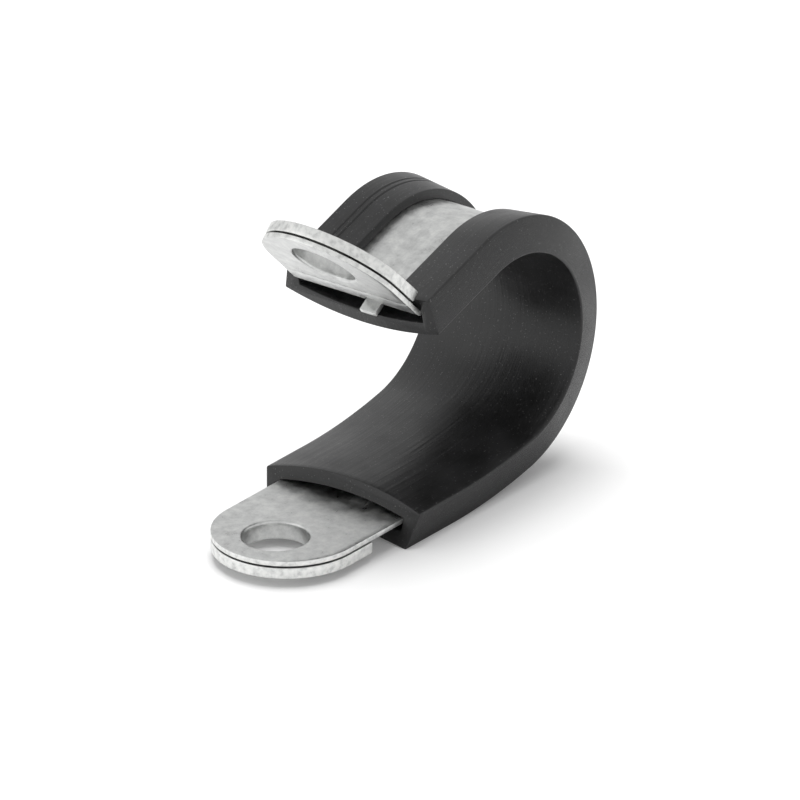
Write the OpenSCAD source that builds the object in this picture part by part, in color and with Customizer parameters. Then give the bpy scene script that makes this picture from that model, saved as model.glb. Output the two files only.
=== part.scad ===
// Rubber-lined P clip, standing open as it is sold: a zinc-plated steel band is curled into a
// loop with an ear at each end, a rubber channel is snapped over the band round the loop, and a
// reinforcing plate sits on the outer face of each ear, held by the collar of its fixing hole.
// The clip lies on its lower leg. X runs from the lower fixing hole towards the loop, Y across the
// band and Z up. The origin is on the axis of the lower fixing hole, in its plate's mounting face.

/* [Band] */
// Width of the steel band
band_w = 15; // [12:1:20]
// Thickness of the steel band
band_t = 0.5; // [0.4:0.05:0.8]
// Inside radius of the band round the loop
loop_r = 11.7; // [8:0.1:16]
// Angle that the band has turned through where the loop ends
loop_turn = 197.5; // [180:0.5:220]
// Distance from the lower fixing hole to the loop's centre
leg_l = 26.5; // [22:0.5:36]
// Rise of the shallow heel curve between the leg and the loop
heel_rise = 0.35; // [0.2:0.05:0.8]
// Radius of that heel curve
heel_r = 60; // [40:5:100]
// Straight length of the band from the loop to the bend of the upper ear
top_l = 9.6; // [6:0.2:14]
// Inside radius of the bend at the upper ear
bend_r = 1; // [0.6:0.1:1.6]
// Angle of the upper ear above the horizontal
ear_rise = 45; // [30:1:60]

/* [Ears] */
// Diameter of the fixing holes, clear for an M6 screw
hole_d = 6.6; // [5:0.1:8.4]
// Distance from a fixing hole's centre to the tip of its ear
tip_l = 5.6; // [5.2:0.1:7.5]
// Distance from the bend to the upper fixing hole's centre
upper_ear_l = 7.9; // [7:0.1:14]
// Wall thickness of the collar drawn down through the plate
collar_t = 0.4; // [0.3:0.05:0.6]
// Radius rolled into the mouth of the hole on the mating face
mouth_r = 0.3; // [0.1:0.05:0.4]

/* [Plates] */
// Thickness of a reinforcing plate
plate_t = 1.15; // [0.8:0.05:2]
// Gap that stays between a plate and the band
plate_gap = 0.22; // [0.1:0.02:0.4]
// Distance from the fixing hole's centre to the square inner end of a plate
plate_l = 5.6; // [5.2:0.1:7.5]
// Radial clearance between a collar and its plate
collar_clear = 0.03; // [0.02:0.01:0.1]

/* [Liner] */
// Thickness of the liner's web in the middle
web_t = 1.4; // [1:0.1:2.5]
// Height of the hollow arch between the web and the band
arch_h = 0.8; // [0.4:0.1:1.4]
// Height of the liner's bore edges above the band
shoulder_h = 0.83; // [0.5:0.01:1.2]
// Thickness of the liner's side walls at the band
wall_t = 1.65; // [1.2:0.05:2.5]
// Lean of the side walls, which close in towards the lips
wall_lean = 14; // [5:1:20]
// Thickness of a lip at its free edge
lip_t = 1; // [0.7:0.05:1.6]
// Angle at which the outside of a lip falls away to the side wall
lip_lean = 6; // [0:1:12]
// Width of steel left bare between the lips
bare_w = 8.4; // [5:0.2:11]
// Clearance of the band in the channel across its width
side_clear = 0.05; // [0.03:0.01:0.2]
// Freedom of the band in the channel through its thickness
channel_slack = 0.68; // [0.2:0.02:0.9]
// Distance from the lower fixing hole to the liner's lower end
liner_start = 10.4; // [10:0.2:14]
// Rake of the cut at the liner's lower end
lower_rake = 18; // [0:1:20]
// Rake of the cut at the liner's upper end
upper_rake = 6; // [0:1:10]

/* [Tongues] */
// Width of the locating tongue lanced from each ear
tongue_w = 1.9; // [1.2:0.1:2.5]
// Length of a tongue
tongue_l = 1.6; // [1:0.1:2.2]
// Angle at which a tongue stands off the band
tongue_rise = 17; // [10:1:22]
// Distance of the tongues from the band's centre line
tongue_y = -1.4; // [-3:0.1:3]

/* [Hidden] */
$fn = 96;
eps = 0.01;
// Largest turn between two neighbouring stations on an arc, in degrees.
arc_step = 4;
// Length of a tongue's root inside the band.
tongue_root = 0.3;
// Distance that the liner's upper end stays short of the bend's corner.
liner_gap = 0.1;
// Length by which the lips are trimmed at that end, clear of the bend.
lip_trim = 0.6;

// Height of a plate, its gap and the band together: the band's mating face stands here.
stack = plate_t + plate_gap + band_t;
hole_r = hole_d / 2;
collar_r = hole_r + collar_t;
// Centre of the half-round end of an ear, measured from its hole.
round_x = band_w / 2 - tip_l;

// The loop's centre. The band's bore face is at loop_r from it and the channel's seat, where the
// band would touch the liner's shoulders, is nearer to it by the slack.
loop_z = stack + loop_r + heel_rise;
seat_r = loop_r - channel_slack;
// The heel is an arc that leaves the leg level and meets an arc of radius r about the loop's centre.
function heel_run(r) = sqrt(pow(heel_r - r, 2) - pow(heel_r + stack - loop_z, 2));
function heel_turn(r) = asin(heel_run(r) / (heel_r - r));

// The bend of the upper ear, seen as the corner where the two straight faces would meet.
bend_turn = loop_turn - (180 - ear_rise);
bend_out_r = bend_r + band_t;
bend_tan = bend_out_r * tan(bend_turn / 2);

// Half widths and heights of the liner's section. Height 0 is the seat and the bore is up.
web_half = band_w / 2 + side_clear + wall_t;
shoulder_half = web_half + shoulder_h * tan(wall_lean) / 2;
channel_half = band_w / 2 + side_clear;
channel_low = -(band_t + channel_slack + 0.02);
lip_half = bare_w / 2;
corner_low = channel_low - lip_t - (web_half - lip_half) * tan(lip_lean);
corner_half = web_half + corner_low * tan(wall_lean);
seat_clear = 0.03;
crown_h = arch_h + web_t;

// ---- Path --------------------------------------------------------------------------------------

// A station is [x, z, heading]: a point of the line that the band follows, seen from the side, and
// the angle at which the line runs there. A heading of 0 runs along X and 90 runs up.

// Stations on an arc of radius r about [cx, cz], from heading a0 to a1. A negative r turns clockwise.
function arc_stations(cx, cz, r, a0, a1) =
    let (n = ceil(abs(a1 - a0) / arc_step))
    [for (i = [0:n]) let (a = a0 + (a1 - a0) * i / n) [cx + r * sin(a), cz - r * cos(a), a]];

// The station l further on in a straight line.
function ahead(s, l) = [s[0] + l * cos(s[2]), s[1] + l * sin(s[2]), s[2]];

// The point at height v above a station, towards the bore.
function above(s, v) = [s[0] - v * sin(s[2]), s[1] + v * cos(s[2])];

// The leg from x0, the heel and the loop at radius r. The heel leaves the leg level and runs into
// an arc of radius r about the loop's centre.
function loop_path(r, x0) = concat(
    [[x0, stack, 0]],
    arc_stations(leg_l - heel_run(r), stack + heel_r, heel_r, 0, heel_turn(r)),
    arc_stations(leg_l, loop_z, r, heel_turn(r), loop_turn)
);

// Puts children in the frame of a station: x runs on along the path and z points to the bore.
module at_station(s) {
    translate([s[0], 0, s[1]]) rotate([0, -s[2], 0]) children();
}

loop_end = [leg_l + loop_r * sin(loop_turn), loop_z - loop_r * cos(loop_turn), loop_turn];
bend_corner = ahead(loop_end, top_l);
lower_root = [liner_start + tongue_root, stack, 0];
upper_root = ahead(bend_corner, -bend_tan);
upper_end = [bend_corner[0], bend_corner[1], 180 - ear_rise];
upper_hole = ahead(upper_end, upper_ear_l);

// Puts children on the upper fixing hole, in the frame that the lower hole has: z = 0 is the
// plate's mounting face, the tip points to -x and the mating face looks to +z.
module at_upper_hole() {
    at_station(upper_hole) translate([0, 0, -stack]) rotate([0, 0, 180]) children();
}

// ---- Band --------------------------------------------------------------------------------------

// Outline of an ear or a plate: square at l past the hole, half round at the tip.
module ear_outline(l) {
    intersection() {
        translate([round_x, 0]) circle(d = band_w);
        translate([-tip_l, -band_w / 2]) square([tip_l + min(l, round_x), band_w]);
    }
    translate([round_x - eps, -band_w / 2]) square([l - round_x + eps, band_w]);
}

// What is cropped from a straight strip to round its tip over.
module tip_cut() {
    translate([0, 0, stack - 3 * band_t]) linear_extrude(5 * band_t) difference() {
        translate([-2 * band_w, -band_w]) square([2 * band_w + round_x, 2 * band_w]);
        translate([round_x, 0]) circle(d = band_w);
    }
}

// The hole, with its mouth rolled over at the mating face.
module hole_cut() {
    rotate_extrude() {
        translate([0, -1]) square([hole_r, stack + 1 + eps]);
        difference() {
            translate([0, stack - mouth_r]) square([hole_r + mouth_r, mouth_r + eps]);
            translate([hole_r + mouth_r, stack - mouth_r]) circle(mouth_r);
        }
    }
}

// The collar drawn from the edge of the hole, which carries the plate.
module collar() {
    cylinder(r = collar_r, h = stack - band_t / 2);
}

// The window that a tongue was lanced from. Its root is at x = 0 and it runs to +x.
module window_cut(y) {
    translate([0, y - tongue_w / 2 - side_clear, -3 * band_t])
        cube([tongue_l + 2 * side_clear, tongue_w + 2 * side_clear, 5 * band_t]);
}

// A tongue with its root in the band at x = 0, standing towards the bore as it runs to +x.
module tongue(y) {
    tip = [tongue_l * cos(tongue_rise), tongue_l * sin(tongue_rise)];
    down = band_t * [sin(tongue_rise), -cos(tongue_rise)];
    translate([0, y + tongue_w / 2, 0]) rotate([90, 0, 0]) linear_extrude(tongue_w)
        polygon([[-tongue_root, -band_t / 4], [0, -eps], tip, tip + down, down, [-tongue_root, down[1]]]);
}

// The strip with its ears, loop and bend, as it looks from the side.
module strip_profile() {
    bend = arc_stations(above(upper_root, -bend_out_r)[0], above(upper_root, -bend_out_r)[1],
                        -bend_out_r, loop_turn, 180 - ear_rise);
    line = concat(loop_path(loop_r, -2 * tip_l), bend, [ahead(upper_hole, 2 * tip_l)]);
    outer = [for (i = [len(line) - 1:-1:0]) above(line[i], -band_t)];
    polygon(concat([for (s = line) above(s, 0)], outer));
}

module band() {
    color("silver") difference() {
        union() {
            difference() {
                translate([0, band_w / 2, 0]) rotate([90, 0, 0]) linear_extrude(band_w)
                    strip_profile();
                tip_cut();
                at_upper_hole() tip_cut();
                at_station(lower_root) mirror([1, 0, 0]) window_cut(tongue_y);
                at_station(upper_root) window_cut(tongue_y);
            }
            collar();
            at_upper_hole() collar();
            at_station(lower_root) mirror([1, 0, 0]) tongue(tongue_y);
            at_station(upper_root) tongue(tongue_y);
        }
        hole_cut();
        at_upper_hole() hole_cut();
    }
}

// ---- Liner -------------------------------------------------------------------------------------

// Points of a shallow arch from x = -c to x = c, which stands on height y0 and rises by h.
function arch_points(c, y0, h, n) =
    let (r = (c * c + h * h) / (2 * h), a = asin(c / r))
    [for (i = [0:n]) let (t = a * (2 * i / n - 1)) [r * sin(t), y0 + h - r + r * cos(t)]];

function mirrored(points) = [for (i = [len(points) - 1:-1:0]) [-points[i][0], points[i][1]]];

// The channel's section, across the band in x and towards the bore in y: a crowned web over a
// shallow arch, side walls that close in, and two lips.
function liner_section() =
    let (
        lip = [
            [channel_half, channel_low], [(channel_half + lip_half) / 2, channel_low],
            [lip_half, channel_low],
            [lip_half, channel_low - lip_t], [corner_half, corner_low]
        ],
        crown = arch_points(-shoulder_half, shoulder_h, crown_h - shoulder_h, 12),
        arch = arch_points(channel_half, seat_clear, arch_h - seat_clear, 8)
    )
    concat(arch, lip, crown, mirrored(lip));

// The section at a station, cut at a rake: a positive rake carries the bore side on along the path.
// The lips end shorter by trim.
function ring(s, rake, trim = 0) =
    [for (p = liner_section())
        let (
            short = p[1] < -band_t && abs(p[0]) < channel_half + eps ? trim : 0,
            q = above(ahead(s, p[1] * tan(rake) - short), p[1])
        )
        [q[0], p[0], q[1]]];

// The section swept along the path as one closed solid.
module liner() {
    mid = loop_path(seat_r, liner_start);
    last = ahead(mid[len(mid) - 1], top_l - liner_gap);
    rings = concat([ring(mid[0], lower_rake)], [for (i = [1:len(mid) - 1]) ring(mid[i], 0)],
                   [ring(last, upper_rake, lip_trim)]);
    n = len(rings[0]);
    m = len(rings);
    sides = [for (j = [0:m - 2], i = [0:n - 1]) let (k = (i + 1) % n)
        [j * n + i, j * n + k, (j + 1) * n + k, (j + 1) * n + i]];
    color("#2b2b2b") polyhedron(
        [for (r = rings) each r],
        concat([[for (i = [n - 1:-1:0]) i]], sides, [[for (i = [0:n - 1]) (m - 1) * n + i]])
    );
}

// ---- Plates ------------------------------------------------------------------------------------

module plate() {
    color("gainsboro") difference() {
        linear_extrude(plate_t) ear_outline(plate_l);
        translate([0, 0, -1]) cylinder(r = collar_r + collar_clear, h = plate_t + 2);
    }
}

module lower_plate() { plate(); }
module upper_plate() { at_upper_hole() plate(); }

band();
liner();
lower_plate();
upper_plate();
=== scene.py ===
"""A rubber-lined P clip on a white studio table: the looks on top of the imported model."""

import math

import bmesh
import bpy
import numpy as np
from mathutils import Matrix, Vector


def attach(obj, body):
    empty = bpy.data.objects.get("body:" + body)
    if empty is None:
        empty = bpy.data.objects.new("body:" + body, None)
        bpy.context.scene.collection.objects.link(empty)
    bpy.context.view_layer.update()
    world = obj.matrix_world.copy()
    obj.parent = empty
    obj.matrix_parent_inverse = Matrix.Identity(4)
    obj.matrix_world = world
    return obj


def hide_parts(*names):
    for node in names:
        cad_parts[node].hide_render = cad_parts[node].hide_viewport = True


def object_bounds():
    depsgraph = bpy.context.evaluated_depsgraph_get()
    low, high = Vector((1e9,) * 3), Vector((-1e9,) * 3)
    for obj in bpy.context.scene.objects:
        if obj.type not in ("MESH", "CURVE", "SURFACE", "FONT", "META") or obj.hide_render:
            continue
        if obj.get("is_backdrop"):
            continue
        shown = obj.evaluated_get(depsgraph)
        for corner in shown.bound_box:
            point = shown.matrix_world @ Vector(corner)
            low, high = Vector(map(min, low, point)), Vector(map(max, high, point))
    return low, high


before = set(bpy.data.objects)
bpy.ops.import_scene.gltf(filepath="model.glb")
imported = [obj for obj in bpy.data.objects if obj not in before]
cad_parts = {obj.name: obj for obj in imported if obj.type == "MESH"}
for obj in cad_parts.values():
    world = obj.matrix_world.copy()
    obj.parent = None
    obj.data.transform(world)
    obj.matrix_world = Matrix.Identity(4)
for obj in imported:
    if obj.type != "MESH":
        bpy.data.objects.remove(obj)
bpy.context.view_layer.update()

# ---- Sizes of the clip, in millimetres ----------------------------------------------------------

BAND_W, BAND_T = 15.0, 0.5
PLATE_T, PLATE_GAP = 1.15, 0.22
STACK = PLATE_T + PLATE_GAP + BAND_T        # height of the lower ear's mating face
LOOP_R, LOOP_TURN = 11.7, 197.5             # bore face of the band round the loop
LEG_L, HEEL_RISE, HEEL_R = 26.5, 0.35, 60.0
TOP_L, BEND_R, EAR_RISE = 9.95, 1.0, 45.0
HOLE_R, MOUTH_R, TIP_L = 3.3, 0.3, 5.6
UPPER_EAR_L, PLATE_L = 7.9, 5.6
EAR_L = 5.0                                 # where an ear's rings meet the strip, from its hole
PLATE_BORE_R = HOLE_R + 0.43                # clear of the collar drawn through it
LOOP_Z = STACK + LOOP_R + HEEL_RISE
ROUND_X = BAND_W / 2 - TIP_L                # centre of an ear's half-round end, from its hole
BEND_OUT = BEND_R + BAND_T
BEND_TURN = LOOP_TURN - (180 - EAR_RISE)
BEND_TAN = BEND_OUT * math.tan(math.radians(BEND_TURN / 2))
SLACK = 0.68                                # freedom of the band in the liner's channel
SEAT_R = LOOP_R - SLACK
SIDE_CLEAR, SEAT_CLEAR = 0.05, 0.03         # clearance of the band in the channel
WEB_HALF = BAND_W / 2 + SIDE_CLEAR + 1.65   # to the outside of a side wall, at the band
SHOULDER_H, CROWN_H, ARCH_H = 0.83, 2.2, 0.8
NEAR_LIP, FAR_LIP, LIP_T = 3.95, 3.7, 1.0   # free edges of the lips, from the middle
WALL_LEAN, LIP_LEAN = 14.0, 6.0
GROOVES, GROOVE_W, GROOVE_H = (1.85, 2.47), 0.26, 0.16      # from the far corner
LINER_START, LINER_GAP = 10.4, 0.1
LOWER_RAKE, UPPER_RAKE, RAKE_RUN = 18.0, 6.0, 3.0
TONGUE_W, TONGUE_L, TONGUE_Y, TONGUE_RISE = 1.9, 2.0, -1.8, 17.0
TONGUE_CURL = 0.35                          # length over which a tongue bends up
WINDOW_CLEAR = 0.05
LOWER_TONGUE_X = 10.3


# ---- Lines and meshes ---------------------------------------------------------------------------

def band_line(r, x0, end):
    """The line that the band follows, seen from the side, as a list of stretches (length, x, z,
    heading, turn). It runs along the leg from x0, round the heel and the loop at radius r, and on
    for the straight length end; the heading grows by turn along each stretch."""
    run = math.sqrt((HEEL_R - r) ** 2 - (HEEL_R + STACK - LOOP_Z) ** 2)
    heel = math.asin(run / (HEEL_R - r))
    loop = math.radians(LOOP_TURN)
    start = LEG_L - run
    return [
        (start - x0, x0, STACK, 0.0, 0.0),
        (HEEL_R * heel, start, STACK, 0.0, heel),
        (r * (loop - heel), LEG_L + r * math.sin(heel), LOOP_Z - r * math.cos(heel), heel, loop - heel),
        (end, LEG_L + r * math.sin(loop), LOOP_Z - r * math.cos(loop), loop, 0.0),
    ]


def with_bend(line, ear):
    """The same line with the bend of the upper ear, which turns back, and the ear's straight."""
    length, x, z, heading, _ = line[-1]
    x, z = x + length * math.cos(heading), z + length * math.sin(heading)
    turn = -math.radians(BEND_TURN)
    cx, cz = x + BEND_OUT * math.sin(heading), z - BEND_OUT * math.cos(heading)
    end = heading + turn
    ex, ez = cx - BEND_OUT * math.sin(end), cz + BEND_OUT * math.cos(end)
    return line + [(BEND_OUT * -turn, x, z, heading, turn), (ear, ex, ez, end, 0.0)]


def along(line, u):
    """x, z and heading at the distances u along a line. On a stretch of constant turn, the point
    moves on a circle: the chord over the angle a is the integral of the heading's cosine and sine."""
    u = np.asarray(u, float)
    x, z, h = (np.zeros_like(u) for _ in range(3))
    u0 = 0.0
    for i, (length, sx, sz, heading, turn) in enumerate(line):
        inside = (u >= u0 if i else u > -1e9) & ((u <= u0 + length) if i < len(line) - 1 else True)
        d = u - u0
        if turn:
            k = turn / length
            px = sx + (np.sin(heading + k * d) - math.sin(heading)) / k
            pz = sz - (np.cos(heading + k * d) - math.cos(heading)) / k
            ph = heading + k * d
        else:
            px, pz, ph = sx + d * math.cos(heading), sz + d * math.sin(heading), heading + 0 * d
        x, z, h = (np.where(inside, p, q) for p, q in ((px, x), (pz, z), (ph, h)))
        u0 += length
    return x, z, h


def carried(line, u, y, v):
    """The points at distance u along a line, y across it and v from it towards the bore."""
    x, z, h = along(line, u)
    return np.stack([x - v * np.sin(h), y + 0 * x, z + v * np.cos(h)], axis=-1)


def stations(line, straight, turn_step):
    """Distances along a line: one per straight millimetres, and one per turn_step degrees."""
    u, at = [np.zeros(1)], 0.0
    for length, _, _, _, turn in line:
        n = max(1, math.ceil(max(length / straight, abs(math.degrees(turn)) / turn_step)))
        u.append(at + length * np.arange(1, n + 1) / n)
        at += length
    return np.concatenate(u)


def rounded(points, radii, n=4):
    """A closed outline with each corner replaced by an arc of its radius, tangent to both sides."""
    p = np.asarray(points, float)
    out = []
    for a, b, c, r in zip(np.roll(p, 1, 0), p, np.roll(p, -1, 0), radii):
        if r <= 0:
            out.append(b[None])
            continue
        e, f = (a - b) / np.linalg.norm(a - b), (c - b) / np.linalg.norm(c - b)
        half = math.acos(np.clip(e @ f, -1, 1)) / 2
        centre = b + (e + f) / np.linalg.norm(e + f) * r / math.sin(half)
        s, t = b + e * r / math.tan(half) - centre, b + f * r / math.tan(half) - centre
        w = np.linspace(0, 1, n + 1)[:, None]
        d = s * (1 - w) + t * w
        out.append(centre + r * d / np.linalg.norm(d, axis=1, keepdims=True))
    return np.concatenate(out)


def grid_faces(rows, cols, closed=False, first=0):
    """Quads of a grid of rows by cols points; a closed grid joins its last column to its first."""
    i = np.arange(rows - 1)[:, None] * cols
    j = np.arange(cols if closed else cols - 1)[None]
    k = (j + 1) % cols
    return np.stack([i + j, i + k, i + cols + k, i + cols + j], axis=-1).reshape(-1, 4) + first


def new_piece(name, points, faces, materials, body="root"):
    """A mesh object from points in millimetres; its place is in its mesh."""
    mesh = bpy.data.meshes.new(name)
    mesh.from_pydata((np.asarray(points) / 1000).tolist(), [], [list(map(int, f)) for f in faces])
    obj = bpy.data.objects.new(name, mesh)
    bpy.context.scene.collection.objects.link(obj)
    for m in materials:
        mesh.materials.append(m)
    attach(obj, body)
    return obj


def modifier(obj, kind, **settings):
    m = obj.modifiers.new(kind.title(), kind)
    for key, value in settings.items():
        setattr(m, key, value)
    return m


def finish_mesh(obj, sharp=35):
    """Applies the modifiers, and shades smooth across every edge flatter than sharp degrees."""
    graph = bpy.context.evaluated_depsgraph_get()
    mesh = bpy.data.meshes.new_from_object(obj.evaluated_get(graph))
    obj.modifiers.clear()
    old, obj.data = obj.data, mesh
    bpy.data.meshes.remove(old)
    mesh.name = obj.name
    mesh.shade_smooth()
    mesh.set_sharp_from_angle(angle=math.radians(sharp))
    return obj


def merged(obj, dist=1e-7):
    """Joins points that lie on each other, and turns every face outwards."""
    b = bmesh.new()
    b.from_mesh(obj.data)
    bmesh.ops.remove_doubles(b, verts=b.verts, dist=dist)
    bmesh.ops.recalc_face_normals(b, faces=b.faces)
    b.to_mesh(obj.data)
    b.free()
    return obj


# ---- Materials ----------------------------------------------------------------------------------

def colour(code):
    """Linear colour of an sRGB hex value."""
    c = np.array([int(code[i:i + 2], 16) / 255 for i in (0, 2, 4)])
    return (*np.where(c <= 0.04045, c / 12.92, ((c + 0.055) / 1.055) ** 2.4), 1.0)


def add(tree, kind, settings=None, **links):
    """Adds a node. Settings name its properties or input sockets, and links feed its inputs."""
    node = tree.nodes.new(kind)
    for key, value in (settings or {}).items():
        if isinstance(key, str) and hasattr(node, key):
            setattr(node, key, value)
        else:
            node.inputs[key].default_value = value
    for key, socket in links.items():
        key = key.replace("_", " ")
        key = int(key[1:]) if key[0] == "i" and key[1:].isdigit() else key
        tree.links.new(socket, node.inputs[key])
    return node


def material(name, **surface):
    m = bpy.data.materials.new(name)
    m.use_nodes = True
    tree = m.node_tree
    shader = tree.nodes["Principled BSDF"]
    for key, value in surface.items():
        shader.inputs[key.replace("_", " ")].default_value = value
    return m, tree, shader


def ramp(tree, fac, stops):
    """A colour ramp from (position, hex) stops."""
    node = add(tree, "ShaderNodeValToRGB", Fac=fac)
    e = node.color_ramp.elements
    while len(e) < len(stops):
        e.new(0.5)
    for item, (pos, code) in zip(e, stops):
        item.position, item.color = pos, colour(code)
    return node.outputs["Color"]


def zinc_steel(name, base, rough):
    """Bright zinc plate on rolled steel: cold grey, with cloudy patches of about 1 mm and a fine grain
    of about 0.2 mm, drawn coarser than the real one so that it shows."""
    m, t, s = material(name, Metallic=1.0, Roughness=rough)
    place = add(t, "ShaderNodeTexCoord").outputs["Object"]
    cloud = add(t, "ShaderNodeTexNoise", {"Scale": 900.0, "Detail": 5.0, "Roughness": 0.65}, Vector=place)
    grain = add(t, "ShaderNodeTexNoise", {"Scale": 5200.0, "Detail": 2.0}, Vector=place)
    tone = ramp(t, cloud.outputs["Fac"], base)
    t.links.new(tone, s.inputs["Base Color"])
    rough_map = add(t, "ShaderNodeMapRange", {"From Min": 0.3, "From Max": 0.7, "To Min": rough - 0.07,
                    "To Max": rough + 0.09}, Value=cloud.outputs["Fac"])
    t.links.new(rough_map.outputs["Result"], s.inputs["Roughness"])
    bump = add(t, "ShaderNodeBump", {"Strength": 0.42, "Distance": 0.00003}, Height=grain.outputs["Fac"])
    t.links.new(bump.outputs["Normal"], s.inputs["Normal"])
    return m


def sheared_steel_highlit(name):
    """The blanked edge of zinc-plated sheet, torn by the shear, with a painted highlight: its tone is lighter
    than the face's, for edges that catch the light.
    """
    m, t, s = material(name, Metallic=1.0, Roughness=0.42)
    place = add(t, "ShaderNodeTexCoord").outputs["Object"]
    cloud = add(t, "ShaderNodeTexNoise", {"Scale": 1600.0, "Detail": 4.0}, Vector=place)
    # Painted highlight: this tone ramp is lighter than the face's steel.
    t.links.new(ramp(t, cloud.outputs["Fac"], [(0.3, "c9cac9"), (0.5, "e6e7e5"), (0.7, "f4f4f2")]),
                s.inputs["Base Color"])
    bump = add(t, "ShaderNodeBump", {"Strength": 0.25, "Distance": 0.00004}, Height=cloud.outputs["Fac"])
    t.links.new(bump.outputs["Normal"], s.inputs["Normal"])
    return m


def black_rubber(name):
    """Extruded EPDM: near black, satin, with faint die lines along it and pale dust in its pores. The
    die lines follow the map that runs along the extrusion, whose unit is 10 mm."""
    m, t, s = material(name, Roughness=0.36, IOR=1.5)
    uv = add(t, "ShaderNodeUVMap", {"uv_map": "along"}).outputs["UV"]
    place = add(t, "ShaderNodeTexCoord").outputs["Object"]
    stretch = add(t, "ShaderNodeMapping", {"Scale": (0.4, 16.0, 1.0)}, Vector=uv)
    lines = add(t, "ShaderNodeTexNoise", {"Scale": 1.0, "Detail": 4.0, "Roughness": 0.6},
                Vector=stretch.outputs["Vector"])
    cloud = add(t, "ShaderNodeTexNoise", {"Scale": 260.0, "Detail": 5.0, "Roughness": 0.6}, Vector=place)
    dust = add(t, "ShaderNodeTexNoise", {"Scale": 5200.0, "Detail": 1.0}, Vector=place)
    specks = ramp(t, dust.outputs["Fac"], [(0.68, "000000"), (0.75, "ffffff")])
    tone = ramp(t, cloud.outputs["Fac"], [(0.3, "151515"), (0.7, "222223")])
    mix = add(t, "ShaderNodeMix", {"data_type": "RGBA", 7: colour("585858")}, i0=specks, i6=tone)
    t.links.new(mix.outputs[2], s.inputs["Base Color"])
    rough_map = add(t, "ShaderNodeMapRange", {"From Min": 0.3, "From Max": 0.7, "To Min": 0.3,
                    "To Max": 0.44}, Value=cloud.outputs["Fac"])
    t.links.new(rough_map.outputs["Result"], s.inputs["Roughness"])
    bump = add(t, "ShaderNodeBump", {"Strength": 0.4, "Distance": 0.0001}, Height=lines.outputs["Fac"])
    t.links.new(bump.outputs["Normal"], s.inputs["Normal"])
    return m


steel_face = zinc_steel("zinc_plated_steel", [(0.3, "b9bab9"), (0.5, "cfd0cf"), (0.68, "e2e3e1")], 0.33)
# The edges get a lighter copy of the steel, a painted highlight.
steel_edge_highlight = sheared_steel_highlit("sheared_edge_painted_highlight")
rubber = black_rubber("extruded_black_rubber")


# ---- Band ---------------------------------------------------------------------------------------

def ear_rim(l, across, n_tip=40):
    """Outline of an ear about its hole, starting on the joint line x = l: the joint's points, one
    long side, the half-round tip and the other side."""
    a = np.linspace(np.pi / 2, 3 * np.pi / 2, n_tip)
    tip = np.stack([ROUND_X + BAND_W / 2 * np.cos(a), BAND_W / 2 * np.sin(a)], -1)
    side = np.linspace(l, ROUND_X, 6)[1:-1]
    upper = np.stack([side, np.full_like(side, BAND_W / 2)], -1)
    lower = np.stack([side[::-1], np.full_like(side, -BAND_W / 2)], -1)
    joint = np.stack([np.full_like(across, l), across], -1)
    return joint, np.concatenate([upper, tip, lower])


def ear_sheet(l, across):
    """The mating face of an ear as (points, faces) in u, y and height v: rings from the outline to
    the hole, the rolled mouth, and the collar down to the plate's mounting face."""
    joint, rest = ear_rim(l, across)
    rim = np.concatenate([joint, rest])
    angle = np.arctan2(rim[:, 1], rim[:, 0])
    unit = np.stack([np.cos(angle), np.sin(angle)], -1)
    mouth = HOLE_R + MOUTH_R
    w = np.linspace(0, 1, 7)[:, None, None]
    flat = rim[None] * (1 - w) + mouth * unit[None] * w
    rings = [np.concatenate([flat, np.zeros(flat.shape[:2] + (1,))], -1)]
    for a in np.linspace(0, np.pi / 2, 6)[1:]:
        r = mouth - MOUTH_R * math.sin(a)
        v = -MOUTH_R * (1 - math.cos(a))
        rings.append(np.concatenate([r * unit, np.full((len(rim), 1), v)], -1)[None])
    for v in np.linspace(-MOUTH_R, -STACK, 5)[1:]:
        rings.append(np.concatenate([HOLE_R * unit, np.full((len(rim), 1), v)], -1)[None])
    grid = np.concatenate(rings)
    return grid.reshape(-1, 3), grid_faces(grid.shape[0], grid.shape[1], closed=True)


def blank_rows(line, total, marks):
    """Distances of the strip's rows between its ears, with a row at each end of a window."""
    u = stations(line, 1.0, 2.0)
    u = u[(u > EAR_L + 0.2) & (u < total - EAR_L - 0.2)]
    u = u[np.abs(u[:, None] - marks[None]).min(1) > 0.12]
    return np.sort(np.concatenate([[EAR_L, total - EAR_L], marks, u]))


def blank(line, total, across, window, y_low, y_high):
    """The blank laid out flat, as parts of (points, faces): the strip with its windows, then the
    lower ear and the upper ear."""
    u = blank_rows(line, total, np.array([w for pair in window for w in pair]))
    strip = np.stack(np.broadcast_arrays(u[:, None], across[None], np.zeros((len(u), len(across)))), -1)
    strip = strip.reshape(-1, 3)
    faces = grid_faces(len(u), len(across))
    mid = strip[faces].mean(1)
    hole = np.zeros(len(faces), bool)
    for start, end in window:
        hole |= (mid[:, 0] > start) & (mid[:, 0] < end) & (mid[:, 1] > y_low) & (mid[:, 1] < y_high)
    ear, ear_faces = ear_sheet(EAR_L, across)
    return [(strip, faces[~hole]), (ear, ear_faces), (ear * [-1, -1, 1] + [total, 0, 0], ear_faces)]


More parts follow.
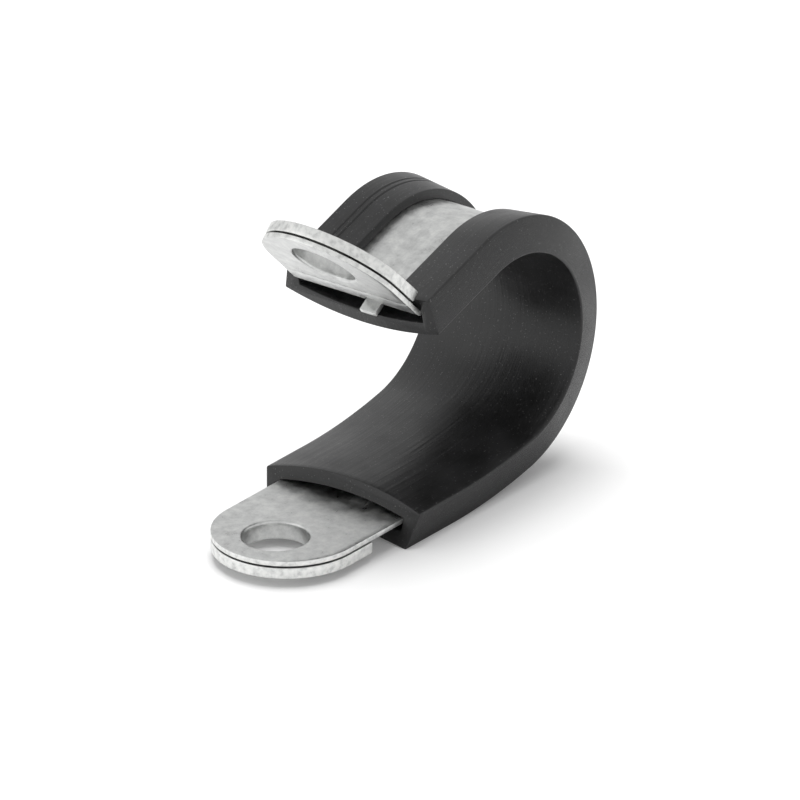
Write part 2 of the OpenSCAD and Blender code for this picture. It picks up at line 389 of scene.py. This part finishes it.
def tongue_sheet(line, root, across, width):
    """A tongue, which leaves its window's root in the band's plane and stands towards the bore. It
    is narrower than its window, whose columns are across."""
    t = np.linspace(0, TONGUE_L, 7)
    angle = np.clip(t / TONGUE_CURL, 0, 1) * math.radians(TONGUE_RISE)
    step = np.diff(t, prepend=0)
    reach, lift = np.cumsum(np.cos(angle) * step), np.cumsum(np.sin(angle) * step)
    squeeze = 1 - 2 * WINDOW_CLEAR / width * np.clip(t / 0.1, 0, 1)
    y = TONGUE_Y + (across[None] - TONGUE_Y) * squeeze[:, None]
    x, z, h = (float(q[0]) for q in along(line, [root]))
    px = x + reach * math.cos(h) - lift * math.sin(h)
    pz = z + reach * math.sin(h) + lift * math.cos(h)
    points = np.stack(np.broadcast_arrays(px[:, None], y, pz[:, None]), -1)
    return points.reshape(-1, 3), grid_faces(len(t), len(across))


def build_band():
    """The blank carried along the band's line, with the tongues lanced from its windows. The sheet
    is the band's inner face, and its thickness goes outwards from the bore."""
    line = with_bend(band_line(LOOP_R, 0.0, TOP_L - BEND_TAN), UPPER_EAR_L - BEND_TAN)
    total = sum(s[0] for s in line)
    y_low = TONGUE_Y - TONGUE_W / 2 - WINDOW_CLEAR
    y_high = TONGUE_Y + TONGUE_W / 2 + WINDOW_CLEAR
    across = np.concatenate([np.linspace(-BAND_W / 2, y_low, 9), np.linspace(y_low, y_high, 5)[1:],
                             np.linspace(y_high, BAND_W / 2, 13)[1:]])
    roots = (LOWER_TONGUE_X, total - UPPER_EAR_L + BEND_TAN - BEND_OUT * math.radians(BEND_TURN))
    window = [(root, root + TONGUE_L + 2 * WINDOW_CLEAR) for root in roots]
    sheets = [(carried(line, *p.T), f) for p, f in blank(line, total, across, window, y_low, y_high)]
    tongue_across = across[(across > y_low - 1e-6) & (across < y_high + 1e-6)]
    sheets += [tongue_sheet(line, root, tongue_across, y_high - y_low) for root in roots]
    first = np.cumsum([0] + [len(p) for p, _ in sheets])
    obj = new_piece("steel_band", np.concatenate([p for p, _ in sheets]),
                    np.concatenate([f + n for (_, f), n in zip(sheets, first)]),
                    [steel_face, steel_edge_highlight])
    merged(obj, 2e-6)
    up = sum(p.normal.z * p.area for p in obj.data.polygons if p.center.x < 0.004 and abs(p.normal.z) > 0.95)
    # The rims take the steel with the painted edge highlight.
    modifier(obj, "SOLIDIFY", thickness=BAND_T / 1000, offset=-1.0 if up > 0 else 1.0,
             use_even_offset=True, material_offset_rim=1)
    modifier(obj, "BEVEL", width=0.00006, segments=2, limit_method="ANGLE", angle_limit=math.radians(50))
    finish_mesh(obj)
    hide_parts("band")


build_band()


# ---- Plates -------------------------------------------------------------------------------------

def at_height(rings, z):
    return np.concatenate([rings, np.full(rings.shape[:2] + (1,), z)], -1)


def build_plate(name, node, place):
    """A blank with a half-round tip, a square end and a hole: rings from the hole's wall over the
    outer face, round the edge and back under it, all on rays about the hole."""
    across = np.linspace(-BAND_W / 2, BAND_W / 2, 21)
    joint, rest = ear_rim(PLATE_L, across)
    rim = np.concatenate([joint, rest])
    angle = np.arctan2(rim[:, 1], rim[:, 0])
    unit = np.stack([np.cos(angle), np.sin(angle)], -1)
    w = np.linspace(0, 1, 6)[:, None, None]
    top = PLATE_BORE_R * unit[None] * (1 - w) + rim[None] * w
    wall = [at_height(rim[None], z) for z in np.linspace(PLATE_T, 0, 4)[1:-1]]
    grid = np.concatenate([at_height(top, PLATE_T), *wall, at_height(top[::-1], 0.0)])
    points = grid.reshape(-1, 3)
    faces = grid_faces(grid.shape[0], grid.shape[1], closed=True)
    n = grid.shape[1]
    last = (grid.shape[0] - 1) * n
    j = np.arange(n)
    k = (j + 1) % n
    faces = np.concatenate([faces, np.stack([last + j, last + k, k, j], -1)])
    obj = new_piece(name, place(points), faces, [steel_face, steel_edge_highlight])
    merged(obj)
    face = Vector(np.diff(place(np.array([[0.0, 0, 0], [0, 0, 1]])), axis=0)[0])
    for p in obj.data.polygons:
        # Side faces take the steel with the painted edge highlight.
        p.material_index = int(abs(p.normal @ face) < 0.5)
    modifier(obj, "BEVEL", width=0.00009, segments=3, limit_method="ANGLE", angle_limit=math.radians(50))
    finish_mesh(obj)
    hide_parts(node)


def at_lower(p):
    return p


def at_upper(p):
    """The lower ear's frame carried to the upper hole and turned about it, so its tip points up."""
    line = with_bend(band_line(LOOP_R, 0.0, TOP_L - BEND_TAN), UPPER_EAR_L - BEND_TAN)
    u = sum(s[0] for s in line)
    return carried(line, u - p[:, 0], -p[:, 1], p[:, 2] - STACK)


build_plate("lower_reinforcing_plate", "lower_plate", at_lower)
build_plate("upper_reinforcing_plate", "upper_plate", at_upper)


# ---- Liner --------------------------------------------------------------------------------------

def liner_outline():
    """The channel's section, (y, v) with v towards the bore: a crowned web over a shallow arch,
    walls that close in and two lips. Every corner has the small radius of an extrusion die."""
    half, low = BAND_W / 2 + SIDE_CLEAR, -(BAND_T + SLACK + 0.02)
    lean, fall = math.tan(math.radians(WALL_LEAN)), math.tan(math.radians(LIP_LEAN))
    shoulder = WEB_HALF + SHOULDER_H * lean
    corner_v = low - LIP_T - (WEB_HALF - NEAR_LIP) * fall
    corner = WEB_HALF + corner_v * lean

    def arch(c, v0, h, n):
        r = (c * c + h * h) / (2 * h)
        a = math.asin(c / r) * np.linspace(-1, 1, n + 1)
        return np.stack([r * np.sin(a), v0 + h - r + r * np.cos(a)], -1)

    crown = arch(shoulder, SHOULDER_H, CROWN_H - SHOULDER_H, 44)
    under = arch(half, SEAT_CLEAR, ARCH_H - SEAT_CLEAR, 30)[::-1]
    # Two fine grooves run along the outside of the far lip.
    a, b = np.array([corner, corner_v]), np.array([FAR_LIP, low - LIP_T])
    on = (b - a) / np.linalg.norm(b - a)
    inward = np.array([on[1], -on[0]])
    grooves = [a + on * (at + d) + inward * depth for at in GROOVES
               for d, depth in ((-GROOVE_W / 2, 0), (0, GROOVE_H), (GROOVE_W / 2, 0))]
    points = np.concatenate([crown, [a], grooves, [b, [FAR_LIP, low], [half, low]], under,
                             [[-half, low], [-NEAR_LIP, low], [-NEAR_LIP, low - LIP_T], [-corner, corner_v]]])
    radii = np.zeros(len(points))
    n = len(crown)
    radii[[0, n - 1]] = 0.16
    radii[n] = 0.2
    n += len(grooves)
    radii[n + 1:n + 4] = [0.15, 0.1, 0.15]
    radii[[n + 4, n + 3 + len(under)]] = 0.05
    radii[n + 4 + len(under):] = [0.15, 0.1, 0.15, 0.2]
    return rounded(points, radii)


def build_liner():
    outline = liner_outline()
    line = band_line(SEAT_R, LINER_START, TOP_L - LINER_GAP)
    u = stations(line, 0.8, 1.5)
    total = u[-1]
    y, v = outline[:, 0], outline[:, 1]
    # The cuts at the ends are raked: the bore side lies further on along the line than the lips.
    rake = np.where(u < total / 2, (1 - u / RAKE_RUN).clip(0) * math.tan(math.radians(LOWER_RAKE)),
                    (1 - (total - u) / RAKE_RUN).clip(0) * math.tan(math.radians(UPPER_RAKE)))
    uu = u[:, None] + rake[:, None] * v[None]
    points = carried(line, uu, y[None] + 0 * uu, v[None] + 0 * uu)
    rows, cols = uu.shape
    faces = [list(f) for f in grid_faces(rows, cols, closed=True)]
    faces += [list(range(cols))[::-1], list((rows - 1) * cols + np.arange(cols))]
    obj = new_piece("rubber_liner", points.reshape(-1, 3), faces, [rubber])
    girth = np.concatenate([[0], np.cumsum(np.linalg.norm(np.diff(outline, axis=0), axis=1))])
    layer = obj.data.uv_layers.new(name="along")
    index = np.zeros(len(obj.data.loops), int)
    obj.data.loops.foreach_get("vertex_index", index)
    uv = np.stack([uu.reshape(-1)[index] / 10, np.tile(girth, rows)[index] / 10], -1)
    layer.data.foreach_set("uv", uv.reshape(-1))
    b = bmesh.new()
    b.from_mesh(obj.data)
    bmesh.ops.recalc_face_normals(b, faces=b.faces)
    b.to_mesh(obj.data)
    b.free()
    modifier(obj, "BEVEL", width=0.00005, segments=2, limit_method="ANGLE", angle_limit=math.radians(60))
    finish_mesh(obj, 50)
    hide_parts("liner")


build_liner()


# ---- Table, light and camera --------------------------------------------------------------------

def white_table():
    """A white sweep: it takes the clip's soft shadow, and reads as white where nothing shades it."""
    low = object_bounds()[0][2] * 1000
    size = 900.0
    p = np.array([[-size, -size, low], [size, -size, low], [size, size, low], [-size, size, low]])
    mesh = bpy.data.meshes.new("white_table")
    mesh.from_pydata((p / 1000).tolist(), [], [[0, 1, 2, 3]])
    obj = bpy.data.objects.new("white_table", mesh)
    bpy.context.scene.collection.objects.link(obj)
    m = bpy.data.materials.new("white_table_laminate")
    m.use_nodes = True
    t = m.node_tree
    t.nodes.clear()
    out = add(t, "ShaderNodeOutputMaterial")
    matt = add(t, "ShaderNodeBsdfDiffuse", {"Color": colour("f2f2f2")})
    glow = add(t, "ShaderNodeEmission", {"Color": (1, 1, 1, 1), "Strength": 0.12})
    both = add(t, "ShaderNodeAddShader")
    t.links.new(matt.outputs[0], both.inputs[0])
    t.links.new(glow.outputs[0], both.inputs[1])
    path = add(t, "ShaderNodeLightPath")
    pick = add(t, "ShaderNodeMixShader")
    t.links.new(path.outputs["Is Camera Ray"], pick.inputs[0])
    t.links.new(matt.outputs[0], pick.inputs[1])
    t.links.new(both.outputs[0], pick.inputs[2])
    t.links.new(pick.outputs[0], out.inputs["Surface"])
    mesh.materials.append(m)
    obj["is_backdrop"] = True


def lamp(name, spot, aim, size, power):
    """A soft box at spot, turned to aim, in metres and watts."""
    data = bpy.data.lights.new(name, "AREA")
    data.shape = "RECTANGLE"
    data.size, data.size_y = size
    data.energy = power
    obj = bpy.data.objects.new(name, data)
    bpy.context.scene.collection.objects.link(obj)
    obj.location = spot
    obj.rotation_euler = (Vector(aim) - Vector(spot)).to_track_quat("-Z", "Y").to_euler()
    return obj


def set_world(mirrored, strength):
    """White all round: it lights at one strength, and glossy surfaces mirror it at another."""
    world = bpy.data.worlds.new("studio")
    bpy.context.scene.world = world
    world.use_nodes = True
    t = world.node_tree
    t.nodes.clear()
    out = add(t, "ShaderNodeOutputWorld")
    soft = add(t, "ShaderNodeBackground", {"Color": (1, 1, 1, 1), "Strength": strength})
    white = add(t, "ShaderNodeBackground", {"Color": (1, 1, 1, 1), "Strength": 1.0})
    mirror = add(t, "ShaderNodeBackground", {"Color": (1, 1, 1, 1), "Strength": mirrored})
    path = add(t, "ShaderNodeLightPath")
    gloss = add(t, "ShaderNodeMixShader")
    t.links.new(path.outputs["Is Glossy Ray"], gloss.inputs[0])
    t.links.new(soft.outputs[0], gloss.inputs[1])
    t.links.new(mirror.outputs[0], gloss.inputs[2])
    pick = add(t, "ShaderNodeMixShader")
    t.links.new(path.outputs["Is Camera Ray"], pick.inputs[0])
    t.links.new(gloss.outputs[0], pick.inputs[1])
    t.links.new(white.outputs[0], pick.inputs[2])
    t.links.new(pick.outputs[0], out.inputs["Surface"])


def set_camera():
    """A long lens, almost without perspective, from the lower ear's near side."""
    azimuth, elevation, roll = (math.radians(a) for a in (217.827, 24.879, -0.549))
    away = Vector((math.cos(elevation) * math.cos(azimuth), math.cos(elevation) * math.sin(azimuth),
                   math.sin(elevation)))
    right = Vector((0, 0, 1)).cross(away).normalized()
    upward = away.cross(right)
    right, upward = (right * math.cos(roll) + upward * math.sin(roll),
                     upward * math.cos(roll) - right * math.sin(roll))
    distance, scale = 3.3333, 10340.6
    centre = Vector((0, 0, STACK / 1000)) + right * 0.0120077 + upward * 0.0131157 + away * distance
    data = bpy.data.cameras.new("camera")
    data.sensor_width = 36.0
    data.lens = scale * distance * 36.0 / 800
    data.clip_start, data.clip_end = 0.5, 20.0
    obj = bpy.data.objects.new("camera", data)
    bpy.context.scene.collection.objects.link(obj)
    obj.matrix_world = Matrix.Translation(centre) @ Matrix((right, upward, away)).transposed().to_4x4()
    bpy.context.scene.camera = obj


white_table()
set_world(0.8, 0.42)
# The steel mirrors the white room and not this lamp, which would burn it out.
key = lamp("overhead_soft_box", (0.1, 0.07, 0.45), (0.017, 0, 0.01), (0.34, 0.34), 2.05)
key.visible_glossy = False
lamp("side_soft_box", (-0.33, 0.22, 0.15), (0.02, 0, 0.012), (0.5, 0.4), 0.3)
set_camera()
bpy.context.scene.view_settings.view_transform = "Standard"
